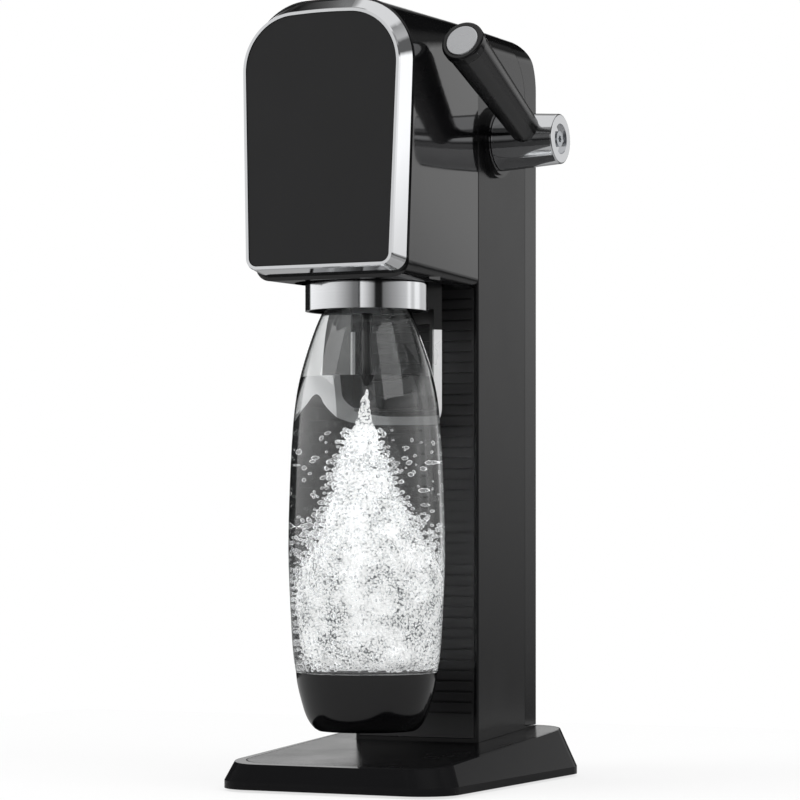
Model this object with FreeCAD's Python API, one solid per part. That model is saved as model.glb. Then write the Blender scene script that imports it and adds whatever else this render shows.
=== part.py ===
"""Soda carbonator: a retro counter-top machine with a side lever, built as a real assembly.

Frame: origin at the centre of the base footprint on the table, +Z up, -Y to the front,
+X to the side that carries the lever. All sizes are millimetres.
"""
import FreeCAD, Part
import math
import os

os.makedirs("parts", exist_ok=True)
Vec = FreeCAD.Vector

# ---------------------------------------------------------------- driving dimensions
WALL = 2.5                    # moulded wall thickness
BASE_WALL = 3.0
GAP = 0.3                     # parting gap between neighbouring pieces

BASE_HALF_W = 70.0
BASE_FRONT = -101.0
BASE_REAR = 102.0
BASE_CORNER = 22.0
BASE_UNDERSIDE = 1.2          # the shell stands this far off the table on its feet
BASE_BAND_TOP = 5.5           # top of the upright band round the foot of the base
BASE_TOP_HALF_W = 59.0        # base outline at the height LOFT_TOP
BASE_TOP_FRONT = -93.0
BASE_TOP_REAR = 99.6
LOFT_TOP = 30.0
DECK_FRONT_Z = 15.4           # height of the sloping top at the front edge
DECK_SLOPE = 0.065            # rise of the top per millimetre towards the back
TRAY_THICK = 3.0
FOOT_PLACES = ((-50.0, -62.0), (50.0, -62.0), (-50.0, 62.0), (50.0, 62.0), (0.0, 0.0))

COLUMN_HALF_W = 38.75
COLUMN_FRONT = 14.5
COLUMN_REAR = 96.6
SEAM_Y = 80.5                 # parting line of the rear cover
COVER_FOOT_Z = 28.3
PLATE_TOP = 4.3               # upper face of the bottom plate, where the column stands
SPLIT_Z = 364.0               # parting line of head and column, on the lever axis
SHAFT_HOLE_R = 12.0           # hole in head and column for the base of the lever hub
SPINE_ROUND = 14.0            # radius of the top side edges over the column

GROOVE_COUNT = 40
GROOVE_PITCH = 6.0
GROOVE_TOP_Z = 273.3
GROOVE_HALF_LENGTH = 34.3
GROOVE_HEIGHT = 1.3
GROOVE_DEPTH = 1.6

HEAD_FRONT = -92.0            # front edge of the head shell, behind the bezel
HEAD_TOP = 428.4              # top of the head at its corners
HEAD_CROWN = 1.6              # rise of the top in the middle
CROWN_R = 300.0               # radius that joins the two slopes of the top
HEAD_BOTTOM = 278.6
HEAD_FRONT_HALF_TOP = 51.3
HEAD_FRONT_HALF_BOTTOM = 46.2
HEAD_FRONT_BOTTOM = 278.3
PANEL_HALF_TOP = 45.9
PANEL_HALF_BOTTOM = 41.7
PANEL_BOTTOM = 285.4
PANEL_TOP = 418.4
PANEL_CROWN = 2.2
PANEL_ROUND_TOP = 28.5
PANEL_ROUND_BOTTOM = 4.5
PANEL_Y_BOTTOM = -108.0
PANEL_Y_TOP = -104.6
PANEL_THICK = 2.5
BEZEL_RIM = 1.9               # width of the bezel's flat rim round the panel
BEZEL_STEP = 0.8              # the black shell shows this far round the chrome
BEZEL_BOTTOM = 280.3          # lower rear edge of the bezel
REAR_ROUND = 30.0             # radius of the top rear edge seen from the side
SEAM_ROUND = 31.0

BOTTLE_Y = -49.0              # axis of bottle, collar and nozzle
COLLAR_R = 34.0
COLLAR_BOTTOM = 263.3
COLLAR_TOP = 283.5
TILT_Z = 300.0                # tilt axis of the bottle holder
TILT_PIN_R = 3.0
BACKREST_R_IN = 41.5
BACKREST_THICK = 5.0
BACKREST_HALF_ANGLE = 38.0
BACKREST_BOTTOM = 199.6
BACKREST_TOP = 266.0
BACKREST_LINE = 4.4           # width of the bright band that edges the backrest
BACKREST_RIM = 7.0            # width of the frame round the open middle of the backrest
BACKREST_BAND_TOP = 254.5      # the bright band ends here, below the holder
MOUTH_Z = 281.5
NECK_R = 20.5
BOTTLE_WALL = 0.9
CUP_TOP = 64.2
CUP_BOTTOM = 32.1
NOZZLE_R = 3.0
NOZZLE_END = 226.7

CYL_Y = 60.0                  # axis of the gas cylinder
CYL_R = 30.0
CYL_BOTTOM = 12.0
CYL_SHOULDER = 318.0
VALVE_BOTTOM = 342.0
VALVE_TOP = 366.0
VALVE_R = 11.0

AXIS_Y = 38.0                 # lever axis
AXIS_Z = 364.0
SHAFT_R = 5.0
SHAFT_LEFT = -35.0
SHAFT_RIGHT = 72.0
HUB_START = 43.6
HUB_END = 79.4
HUB_ROOT_R = 16.5
HUB_END_R = 14.1
RING_R = 20.3
ARM_X = 62.5
ARM_LENGTH = 106.5
ARM_ANGLE = 24.0              # arm above the horizontal at rest, degrees
ARM_END_R = 11.5
ARM_ROOT_R = 8.3
ARM_CAP_R = 9.2
CAM_REACH = 9.0               # distance from shaft axis to the plunger at rest
LIFT_PER_RADIAN = 3.67        # plunger travel for one radian of lever turn
LEVER_RANGE = math.radians(50)

LOCK_Y = 50.0                 # axis of the bail that locks the cylinder
LOCK_Z = 380.0
LOCK_PIN_R = 2.0
BAIL_REAR = 84.5
CHASSIS_SCREWS = ((28.0, 337.0), (28.0, 352.0), (74.0, 337.0))


# ---------------------------------------------------------------- helpers
def save(name, shape):
    """Write one sub-part as a STEP file and report its volume."""
    solids = shape.Solids
    result = solids[0] if len(solids) == 1 else Part.makeCompound(solids)
    result.exportStep("parts/" + name + ".step")
    print(name, "solids", len(solids), "volume", round(result.Volume), "valid", result.isValid())


def box(x0, x1, y0, y1, z0, z1):
    return Part.makeBox(x1 - x0, y1 - y0, z1 - z0, Vec(x0, y0, z0))


def upright(x, y, z0, z1, radius):
    return Part.makeCylinder(radius, z1 - z0, Vec(x, y, z0))


def crossbar(x0, x1, y, z, radius):
    """Cylinder lying along X."""
    return Part.makeCylinder(radius, x1 - x0, Vec(x0, y, z), Vec(1, 0, 0))


def fuse(shapes):
    whole = shapes[0].multiFuse(shapes[1:])
    return whole.removeSplitter()


def rounded_wire(corners, place):
    """Closed wire through 2D corners (u, v, radius); place maps (u, v) to a point in space."""
    count = len(corners)
    edges = []
    ends = []
    for index in range(count):
        u, v, radius = corners[index]
        here = Vec(u, v, 0)
        before = Vec(corners[index - 1][0], corners[index - 1][1], 0) - here
        after_corner = corners[(index + 1) % count]
        after = Vec(after_corner[0], after_corner[1], 0) - here
        before.normalize()
        after.normalize()
        half = before.getAngle(after) / 2
        reach = radius / math.tan(half)
        inward = before + after
        inward.normalize()
        middle = here + inward * (radius / math.sin(half) - radius)
        ends.append((here + before * reach, middle, here + after * reach))
    for index in range(count):
        start, middle, end = ends[index]
        edges.append(Part.Arc(place(start), place(middle), place(end)).toShape())
        following = ends[(index + 1) % count][0]
        edges.append(Part.LineSegment(place(end), place(following)).toShape())
    return Part.Wire(edges)


def plan(z):
    return lambda p: Vec(p.x, p.y, z)


def elevation(y):
    return lambda p: Vec(p.x, y, p.y)


def prism(wire, direction):
    return Part.Face(wire).extrude(direction)


def rectangle(half_w, front, rear, radius):
    return [(-half_w, front, radius), (half_w, front, radius),
            (half_w, rear, radius), (-half_w, rear, radius)]


def deck_height(y):
    return DECK_FRONT_Z + DECK_SLOPE * (y - BASE_TOP_FRONT)


def below_deck(drop):
    """Everything under the sloping top plane of the base, lowered by drop."""
    y0 = -150.0
    y1 = 150.0
    points = [Vec(-100, y0, -50), Vec(-100, y1, -50),
              Vec(-100, y1, deck_height(y1) - drop), Vec(-100, y0, deck_height(y0) - drop)]
    wire = Part.makePolygon(points + [points[0]])
    return prism(wire, Vec(200, 0, 0))


# ---------------------------------------------------------------- base
def base_body(inset, drop, floor_z):
    """Base block shrunk by inset on its sides, cut off below the sloping top."""
    low = rectangle(BASE_HALF_W - inset, BASE_FRONT + inset, BASE_REAR - inset, BASE_CORNER - inset)
    high = rectangle(BASE_TOP_HALF_W - inset, BASE_TOP_FRONT + inset, BASE_TOP_REAR - inset,
                     BASE_CORNER - inset)
    band_wire = rounded_wire(low, plan(floor_z))
    band = prism(band_wire, Vec(0, 0, BASE_BAND_TOP - floor_z))
    skirt = Part.makeLoft([rounded_wire(low, plan(BASE_BAND_TOP)), rounded_wire(high, plan(LOFT_TOP))],
                          True, True)
    return fuse([band, skirt]).common(below_deck(drop))


def tray_block(inset, top_drop, bottom_drop):
    """Slab parallel to the sloping top with the outline of the drip tray."""
    half_w = BASE_TOP_HALF_W + 1.2 - inset
    outline = rectangle(half_w, BASE_TOP_FRONT + 1.2 + inset, BASE_TOP_REAR - 1.8 - inset,
                        BASE_CORNER - 3.0)
    block = prism(rounded_wire(outline, plan(0)), Vec(0, 0, 60))
    return block.common(below_deck(top_drop)).cut(below_deck(bottom_drop))


def screw_places():
    return [(x, y) for x in (-52.0, 52.0) for y in (-80.0, 80.0)]


def make_base():
    deck_drop = TRAY_THICK + 0.2
    shell = base_body(0, 0, BASE_UNDERSIDE).cut(base_body(BASE_WALL, deck_drop + WALL, 0))
    shell = shell.cut(tray_block(0, -1, deck_drop))
    shell = shell.cut(box(-39.1, 39.1, 14.15, COLUMN_REAR + 0.35, 0, 40))
    posts = []
    for x, y in screw_places():
        post = upright(x, y, PLATE_TOP, 40, 5.0).common(below_deck(deck_drop + WALL))
        posts.append(post.cut(upright(x, y, PLATE_TOP, PLATE_TOP + 7, 1.6)))
    save("base_shell", fuse([shell] + posts))

    outline = rectangle(BASE_HALF_W - 3.4, BASE_FRONT + 3.4, BASE_REAR - 3.4, BASE_CORNER - 3.4)
    plate = prism(rounded_wire(outline, plan(1.8)), Vec(0, 0, PLATE_TOP - 1.8))
    for x, y in screw_places():
        plate = plate.cut(upright(x, y, 0, 10, 1.8))
        plate = plate.cut(upright(x, y, 0, 3.0, 3.4))
    save("bottom_plate", plate)

    screws = []
    for x, y in screw_places():
        head = upright(x, y, 2.0, 3.0, 3.0).cut(box(x - 2, x + 2, y - 0.4, y + 0.4, 1.5, 2.5))
        screws.append(fuse([head, upright(x, y, 3.0, 10.0, 1.55)]))
    save("base_screws", Part.makeCompound(screws))

    feet = []
    for x, y in FOOT_PLACES:
        pad = upright(x, y, 0, 1.8, 8.0)
        feet.append(pad.makeChamfer(0.5, [e for e in pad.Edges if e.BoundBox.ZMax < 0.01]))
    save("rubber_feet", Part.makeCompound(feet))


def make_tray():
    tray = tray_block(0.5, 0, TRAY_THICK)
    tray = tray.cut(box(-39.2, 39.2, 13.8, 120, 0, 60))
    save("drip_tray", tray)


# ---------------------------------------------------------------- column
def seam_profile(offset):
    """Side-view outline of all that lies in front of the rear cover's parting line."""
    y_line = SEAM_Y + offset
    centre_y = y_line - SEAM_ROUND
    centre_z = 392.0
    mid = math.radians(22.5)
    diag = math.radians(45)
    low = Vec(0, y_line, -10)
    bend = Vec(0, y_line, centre_z)
    arc_mid = Vec(0, centre_y + SEAM_ROUND * math.cos(mid), centre_z + SEAM_ROUND * math.sin(mid))
    arc_end = Vec(0, centre_y + SEAM_ROUND * math.cos(diag), centre_z + SEAM_ROUND * math.sin(diag))
    top = Vec(0, arc_end.y - 40, arc_end.z + 40)
    far_top = Vec(0, -200, arc_end.z + 40)
    far_low = Vec(0, -200, -10)
    return Part.Wire([Part.LineSegment(low, bend).toShape(), Part.Arc(bend, arc_mid, arc_end).toShape(),
                      Part.LineSegment(arc_end, top).toShape(), Part.LineSegment(top, far_top).toShape(),
                      Part.LineSegment(far_top, far_low).toShape(),
                      Part.LineSegment(far_low, low).toShape()])


def ahead_of_seam(offset):
    block = prism(seam_profile(offset), Vec(160, 0, 0))
    block.translate(Vec(-80, 0, 0))
    return block


def spine_block(inset, z0, y0=COLUMN_FRONT):
    """Column and rear of the head as one solid block, shrunk by inset, from z0 to the crown."""
    half_w = COLUMN_HALF_W - inset
    top = HEAD_TOP - inset
    round_top = SPINE_ROUND - inset
    corners = [(-half_w, z0, 0.5), (half_w, z0, 0.5), (half_w, top, round_top),
               (0, top + HEAD_CROWN, CROWN_R), (-half_w, top, round_top)]
    length = COLUMN_REAR - inset - y0
    body = prism(rounded_wire(corners, elevation(y0)), Vec(0, length, 0))
    rear_round = REAR_ROUND - inset
    side = [(0.0, z0 - 5, 1.0), (COLUMN_REAR - inset, z0 - 5, 1.0),
            (COLUMN_REAR - inset, top + HEAD_CROWN, rear_round), (0.0, top + HEAD_CROWN, 1.0)]
    profile = rounded_wire(side, lambda p: Vec(-80, p.x, p.y))
    return body.common(prism(profile, Vec(160, 0, 0)))


def column_outline(inset):
    return [(-COLUMN_HALF_W + inset, COLUMN_FRONT + inset, 1.2),
            (COLUMN_HALF_W - inset, COLUMN_FRONT + inset, 1.2),
            (COLUMN_HALF_W - inset, SEAM_Y + 10, 0.6), (-COLUMN_HALF_W + inset, SEAM_Y + 10, 0.6)]


def make_column():
    low_z = PLATE_TOP
    shell = prism(rounded_wire(column_outline(0), plan(low_z)), Vec(0, 0, SPLIT_Z - low_z))
    shell = shell.cut(prism(rounded_wire(column_outline(WALL), plan(0)), Vec(0, 0, 400)))
    shell = shell.common(box(-60, 60, 0, SEAM_Y - GAP / 2, 0, 400))
    foot = box(-COLUMN_HALF_W, COLUMN_HALF_W, SEAM_Y - 6, COLUMN_REAR, low_z, COVER_FOOT_Z - GAP)
    foot = foot.cut(box(-COLUMN_HALF_W + WALL, COLUMN_HALF_W - WALL, 0, COLUMN_REAR - WALL, 0, 60))
    bosses = []
    for side in (-1, 1):
        for y, z in CHASSIS_SCREWS:
            x0, x1 = sorted((side * 31.5, side * (COLUMN_HALF_W - 1)))
            hole0, hole1 = sorted((side * 31.0, side * 36.0))
            bosses.append(crossbar(x0, x1, y, z, 4.0).cut(crossbar(hole0, hole1, y, z, 1.2)))
    shell = fuse([shell, foot] + bosses)
    shell = shell.cut(box(-36.4, 36.4, 0, 17.1, 24.6, 279.4))
    shell = shell.cut(crossbar(30, 60, AXIS_Y, AXIS_Z, SHAFT_HOLE_R))
    save("column_shell", shell)

    panel = box(-36.1, 36.1, COLUMN_FRONT, COLUMN_FRONT + WALL, 24.9, 279.1)
    grooves = []
    for index in range(GROOVE_COUNT):
        z = GROOVE_TOP_Z - index * GROOVE_PITCH
        grooves.append(box(-GROOVE_HALF_LENGTH, GROOVE_HALF_LENGTH, COLUMN_FRONT - 1,
                           COLUMN_FRONT + GROOVE_DEPTH, z - GROOVE_HEIGHT / 2, z + GROOVE_HEIGHT / 2))
    panel = panel.cut(grooves)
    inner_w = COLUMN_HALF_W - WALL
    rails = []
    for z in (60.0, 150.0, 240.0):
        rails.append(box(-34.0, 34.0, COLUMN_FRONT + WALL, COLUMN_FRONT + 6.0, z, z + 4))
        rails.append(box(-inner_w, inner_w, COLUMN_FRONT + 4.2, COLUMN_FRONT + 6.0, z, z + 4))
    save("ribbed_panel", fuse([panel] + rails))


def make_rear_cover():
    outer = spine_block(0, COVER_FOOT_Z)
    inner = spine_block(WALL, COVER_FOOT_Z - 10)
    cover = outer.cut(inner).cut(ahead_of_seam(GAP / 2))
    floor_plate = box(-36.5, 36.5, SEAM_Y + GAP, COLUMN_REAR - 1, COVER_FOOT_Z, COVER_FOOT_Z + WALL)
    floor_plate = floor_plate.cut(upright(0, CYL_Y, 20, 40, CYL_R + 1.0))
    clips = []
    for side in (-1, 1):
        for z in (70.0, 190.0, 305.0):
            x0, x1 = sorted((side * 33.4, side * 35.9))
            clips.append(box(x0, x1, SEAM_Y - 8, SEAM_Y + 6, z, z + 24))
            x0, x1 = sorted((side * 33.4, side * 37.0))
            clips.append(box(x0, x1, SEAM_Y + 1, SEAM_Y + 6, z, z + 24))
    save("rear_cover", fuse([cover, floor_plate] + clips))


# ---------------------------------------------------------------- head
def head_section(inset, y):
    """Corner list of the head at its front edge or at the column."""
    if y < 0:
        half_top = HEAD_FRONT_HALF_TOP - inset
        half_bottom = HEAD_FRONT_HALF_BOTTOM - inset
        bottom = HEAD_FRONT_BOTTOM + inset
        top_round = 36.0 - inset
        bottom_round = 9.0 - inset
    else:
        half_top = COLUMN_HALF_W - inset
        half_bottom = COLUMN_HALF_W - inset
        bottom = HEAD_BOTTOM + inset
        top_round = SPINE_ROUND - inset
        bottom_round = 6.0 - inset
    top = HEAD_TOP - inset
    return [(-half_bottom, bottom, bottom_round), (half_bottom, bottom, bottom_round),
            (half_top, top, top_round), (0, top + HEAD_CROWN, CROWN_R), (-half_top, top, top_round)]


def head_loft(inset, y0, y1):
    front = rounded_wire(head_section(inset, -1), elevation(y0))
    rear = rounded_wire(head_section(inset, 1), elevation(y1))
    return Part.makeLoft([front, rear], True, True)


def make_head_shell():
    seam = COLUMN_FRONT - GAP
    front_block = head_loft(0, HEAD_FRONT, seam)
    rear_block = spine_block(0, SPLIT_Z, seam).common(ahead_of_seam(-GAP / 2))
    shell = fuse([front_block, rear_block])
    shell = shell.cut(head_loft(WALL, HEAD_FRONT, seam))
    shell = shell.cut(spine_block(WALL, SPLIT_Z - 10, seam))
    mouth = rectangle(36.4, -88.0, -1.8, 30.0)
    shell = shell.cut(prism(rounded_wire(mouth, plan(270)), Vec(0, 0, 20)))
    brackets = []
    for side in (-1, 1):
        x0, x1 = sorted((side * 37.0, side * 41.5))
        block = box(x0, x1, BOTTLE_Y - 7, BOTTLE_Y + 7, HEAD_BOTTOM + 1, TILT_Z + 7)
        brackets.append(block.cut(crossbar(x0 - 1, x1 + 1, BOTTLE_Y, TILT_Z, TILT_PIN_R)))
    shell = fuse([shell] + brackets)
    shell = shell.cut(crossbar(30, 60, AXIS_Y, AXIS_Z, SHAFT_HOLE_R))
    save("head_shell", shell)


def panel_section(grow):
    return [(-PANEL_HALF_BOTTOM - grow, PANEL_BOTTOM - grow, PANEL_ROUND_BOTTOM + grow),
            (PANEL_HALF_BOTTOM + grow, PANEL_BOTTOM - grow, PANEL_ROUND_BOTTOM + grow),
            (PANEL_HALF_TOP + grow, PANEL_TOP + grow, PANEL_ROUND_TOP + grow),
            (0, PANEL_TOP + PANEL_CROWN + grow, CROWN_R),
            (-PANEL_HALF_TOP - grow, PANEL_TOP + grow, PANEL_ROUND_TOP + grow)]


def tilted(depth):
    """Place a section on the leaning front plane, depth behind it."""
    lean = (PANEL_Y_TOP - PANEL_Y_BOTTOM) / (PANEL_TOP - PANEL_BOTTOM)
    return lambda p: Vec(p.x, PANEL_Y_BOTTOM + lean * (p.y - PANEL_BOTTOM) + depth, p.y)


def make_bezel():
    front = rounded_wire(panel_section(BEZEL_RIM), tilted(0))
    shoulder = rounded_wire(panel_section(BEZEL_RIM + 0.5), tilted(1.2))
    corners = [(u, max(v, BEZEL_BOTTOM), radius) for u, v, radius in head_section(BEZEL_STEP, -1)]
    rear = rounded_wire(corners, elevation(HEAD_FRONT))
    rim = Part.makeLoft([front, shoulder], True, True)
    flare = Part.makeLoft([shoulder, rear], True, True)
    bezel = fuse([rim, flare])
    opening_front = rounded_wire(panel_section(0.3), tilted(-2))
    opening_rear = rounded_wire(panel_section(0.3), tilted(25))
    bezel = bezel.cut(Part.makeLoft([opening_front, opening_rear], True, True))
    save("head_bezel", bezel)

    panel = Part.makeLoft([rounded_wire(panel_section(0), tilted(0.4)),
                           rounded_wire(panel_section(0), tilted(0.4 + PANEL_THICK))], True, True)
    save("front_panel", panel)

    carrier = Part.makeLoft([rounded_wire(panel_section(0.3), tilted(0.4 + PANEL_THICK)),
                             rounded_wire(panel_section(0.3), tilted(2.9 + PANEL_THICK))], True, True)
    ribs = []
    for z in (300.0, 345.0, 390.0):
        back = tilted(2.0 + PANEL_THICK)(Vec(0, z, 0)).y
        ribs.append(box(-38.0, 38.0, back, HEAD_FRONT + 3, z, z + 2))
    save("panel_carrier", fuse([carrier] + ribs))


# ---------------------------------------------------------------- bottle holder
def sector(r0, r1, z0, z1, centre_deg, half_deg):
    """Part of an upright ring about the bottle axis."""
    ring = upright(0, BOTTLE_Y, z0, z1, r1).cut(upright(0, BOTTLE_Y, z0 - 1, z1 + 1, r0))
    reach = 120.0
    a0 = math.radians(centre_deg - half_deg)
    a1 = math.radians(centre_deg + half_deg)
    centre = Vec(0, BOTTLE_Y, z0 - 1)
    middle = math.radians(centre_deg)
    points = [centre, centre + Vec(reach * math.cos(a0), reach * math.sin(a0), 0),
              centre + Vec(2 * reach * math.cos(middle), 2 * reach * math.sin(middle), 0),
              centre + Vec(reach * math.cos(a1), reach * math.sin(a1), 0)]
    wedge = prism(Part.makePolygon(points + [centre]), Vec(0, 0, z1 - z0 + 2))
    return ring.common(wedge)


def make_holder():
    body = upright(0, BOTTLE_Y, COLLAR_BOTTOM + 1, 290, 33.3)
    body = body.cut(upright(0, BOTTLE_Y, COLLAR_BOTTOM - 2, 283.0, 31.8))
    body = body.cut(upright(0, BOTTLE_Y, 280, 295, 8.0))
    ears = []
    for side in (-1, 1):
        x0, x1 = sorted((side * 24.0, side * 29.0))
        ears.append(box(x0, x1, BOTTLE_Y - 7, BOTTLE_Y + 7, 288, TILT_Z + 6))
    yoke = sector(34.3, BACKREST_R_IN + BACKREST_THICK, BACKREST_TOP, 280.5, 90, BACKREST_HALF_ANGLE)
    neck = sector(33.0, 36.5, 283.8, 290, 90, 25)
    web = sector(35.0, 38.5, 270, 290, 90, 25)
    holder = fuse([body, yoke, neck, web] + ears)
    holder = holder.cut(crossbar(-60, 60, BOTTLE_Y, TILT_Z, TILT_PIN_R + 0.05))
    save("bottle_holder", holder)

    collar = upright(0, BOTTLE_Y, COLLAR_BOTTOM, COLLAR_TOP, COLLAR_R)
    collar = collar.cut(upright(0, BOTTLE_Y, COLLAR_BOTTOM + 1, COLLAR_TOP + 1, 33.3))
    collar = collar.cut(upright(0, BOTTLE_Y, COLLAR_BOTTOM - 1, COLLAR_BOTTOM + 2, 31.8))
    save("collar_ring", collar)

    r_out = BACKREST_R_IN + BACKREST_THICK
    half_w = backrest_half_width() - BACKREST_RIM
    opening = box(-half_w, half_w, -60, 20, BACKREST_BOTTOM + BACKREST_RIM, BACKREST_TOP - 8)
    back = sector(BACKREST_R_IN, r_out, BACKREST_BOTTOM, BACKREST_TOP, 90, BACKREST_HALF_ANGLE)
    back = back.common(backrest_outline(0)).cut(opening)
    inside_band = backrest_outline(BACKREST_LINE)
    band = back.common(box(-60, 60, -60, 20, 0, BACKREST_BAND_TOP)).cut(inside_band)
    save("backrest_trim", band)
    save("backrest", back.cut(band))

    save("tilt_pin", crossbar(-40.6, 40.6, BOTTLE_Y, TILT_Z, TILT_PIN_R))


def backrest_half_width():
    return (BACKREST_R_IN + BACKREST_THICK) * math.sin(math.radians(BACKREST_HALF_ANGLE))


def backrest_outline(inset):
    """Block with the front-view outline of the backrest and its rounded lower corners."""
    half_w = backrest_half_width() - inset
    low = BACKREST_BOTTOM + inset
    corners = [(-half_w, low, 12.0), (half_w, low, 12.0), (half_w, 290, 0.5), (-half_w, 290, 0.5)]
    return prism(rounded_wire(corners, elevation(-60)), Vec(0, 80, 0))


def make_jaws():
    for side, name, centre in ((-1, "jaw_left", 180), (1, "jaw_right", 0)):
        jaw = sector(21.2, 30.0, 270.0, 279.5, centre, 62)
        pad = sector(21.2, 23.0, 268.0, 270.5, centre, 50)
        save(name, fuse([jaw, pad]))


def make_nozzle():
    body = upright(0, BOTTLE_Y, 262, 293, 8.0).cut(upright(0, BOTTLE_Y, 255, 300, 2.0))
    body = fuse([body, upright(0, BOTTLE_Y, 290, 292.5, 12.0).cut(upright(0, BOTTLE_Y, 255, 300, 8.0))])
    save("nozzle_body", body)
    seal = upright(0, BOTTLE_Y, 281.6, 283.0, 22.0).cut(upright(0, BOTTLE_Y, 280, 284, 8.0))
    save("mouth_seal", seal)
    tube = upright(0, BOTTLE_Y, NOZZLE_END, 262, NOZZLE_R)
    save("nozzle_tube", tube.cut(upright(0, BOTTLE_Y, 200, 270, 1.5)))
    tip = Part.makeCone(1.0, NOZZLE_R, 5.2, Vec(0, BOTTLE_Y, NOZZLE_END - 6.7))
    tip = fuse([tip, upright(0, BOTTLE_Y, NOZZLE_END - 1.5, NOZZLE_END, NOZZLE_R)])
    save("nozzle_tip", tip.cut(upright(0, BOTTLE_Y, 200, 270, 0.5)))


# ---------------------------------------------------------------- bottle
def bottle_outline(inset):
    """Outer curve of the bottle from the cup up to the neck, as (radius, height) points."""
    points = [(39.1, CUP_TOP + 0.2 + inset), (40.6, 74.8), (41.8, 92.4), (43.3, 131.0), (42.4, 170.6),
              (40.4, 204.1), (37.0, 226.3), (30.4, 248.5), (24.6, 262.5), (NECK_R, 267.5)]
    return [(radius - inset, height) for radius, height in points]


def spline_edge(points):
    curve = Part.BSplineCurve()
    curve.interpolate([Vec(radius, 0, height) for radius, height in points])
    return curve.toShape()


def revolve(edges):
    solid = Part.Face(Part.Wire(edges)).revolve(Vec(0, 0, 0), Vec(0, 0, 1), 360)
    solid.translate(Vec(0, BOTTLE_Y, 0))
    return solid


def chain(points):
    vectors = [Vec(radius, 0, height) for radius, height in points]
    return [Part.LineSegment(a, b).toShape() for a, b in zip(vectors, vectors[1:])]


def bottle_solid(inset, mouth_z):
    """Bottle shrunk by inset; below the step at the cup it narrows to a rounded bottom."""
    side = bottle_outline(inset)
    floor_z = 37.0 + inset
    edges = [spline_edge(side)]
    edges += chain([side[-1], (NECK_R - inset, mouth_z), (0, mouth_z), (0, floor_z), (18.0, floor_z)])
    edges.append(Part.Arc(Vec(18.0, 0, floor_z), Vec(30.6 - 0.7 * inset, 0, 44.5 + 0.7 * inset),
                          Vec(36.0 - inset, 0, 55.0)).toShape())
    edges += chain([(36.0 - inset, 55.0), (37.2 - inset, CUP_TOP + inset), side[0]])
    return revolve(edges)


def make_bottle():
    body = fuse([bottle_solid(0, MOUTH_Z), upright(0, BOTTLE_Y, 264.8, 267.0, 25.0)])
    save("bottle_body", body.cut(bottle_solid(BOTTLE_WALL, MOUTH_Z + 5)))

    side = [(39.05, CUP_TOP), (38.3, 58.0), (35.9, 47.9), (32.3, 38.0), (28.6, CUP_BOTTOM + 1.2)]
    edges = [spline_edge(side)]
    edges += chain([side[-1], (26.6, CUP_BOTTOM), (22.0, CUP_BOTTOM), (20.0, CUP_BOTTOM + 2),
                    (0, CUP_BOTTOM + 2), (0, CUP_TOP), side[0]])
    save("bottle_cup", revolve(edges).cut(bottle_solid(0, MOUTH_Z)))


# ---------------------------------------------------------------- gas side
def make_cylinder():
    edges = chain([(0, CYL_BOTTOM), (CYL_R - 5, CYL_BOTTOM)])
    edges.append(Part.Arc(Vec(CYL_R - 5, 0, CYL_BOTTOM), Vec(CYL_R - 1.46, 0, CYL_BOTTOM + 1.46),
                          Vec(CYL_R, 0, CYL_BOTTOM + 5)).toShape())
    edges += chain([(CYL_R, CYL_BOTTOM + 5), (CYL_R, CYL_SHOULDER)])
    edges.append(Part.Arc(Vec(CYL_R, 0, CYL_SHOULDER), Vec(24.5, 0, 333), Vec(13, 0, 341)).toShape())
    edges += chain([(13, 341), (13, VALVE_BOTTOM), (0, VALVE_BOTTOM), (0, CYL_BOTTOM)])
    tank = revolve(edges)
    tank.translate(Vec(0, CYL_Y - BOTTLE_Y, 0))
    save("gas_cylinder", tank)

    valve = upright(0, CYL_Y, VALVE_BOTTOM, VALVE_TOP, VALVE_R)
    valve = fuse([valve, upright(0, CYL_Y, VALVE_BOTTOM, VALVE_BOTTOM + 3.5, 14.0)])
    save("cylinder_valve", valve.cut(upright(0, CYL_Y, 352, 370, 2.15)))
    save("valve_pin", upright(0, CYL_Y, 357, 370.5, 2.0))

    cradle = upright(0, CYL_Y, PLATE_TOP, 20, 32.5).cut(upright(0, CYL_Y, CYL_BOTTOM, 30, CYL_R + 0.3))
    save("cylinder_cradle", cradle.common(box(-40, 40, 18, COLUMN_REAR - WALL - 0.3, 0, 40)))


def make_valve_block():
    block = fuse([box(-21, 21, 46.5, 78, 346, 372), box(-29.5, 29.5, 66.5, 78, 346, 372)])
    block = block.cut(upright(0, CYL_Y, 340, VALVE_TOP, VALVE_R + 0.05))
    block = block.cut(upright(0, CYL_Y, 340, VALVE_BOTTOM + 4.0, 14.4))
    block = block.cut(upright(0, CYL_Y, 360, 380, 4.05))
    block = block.cut(upright(0, 70.5, 366.2, 380, 2.6))
    save("valve_block", block)
    fitting = fuse([upright(0, 70.5, 367, 376, 2.6), upright(0, 70.5, 372, 378, 4.0)])
    save("hose_fitting", fitting.cut(upright(0, 70.5, 360, 380, 1.0)))
    relief = fuse([Part.makeCylinder(4.5, 1.6, Vec(-12, 78, 359), Vec(0, 1, 0)),
                   Part.makeCylinder(3.0, 4.0, Vec(-12, 78, 359), Vec(0, 1, 0))])
    save("relief_valve", relief)


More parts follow.
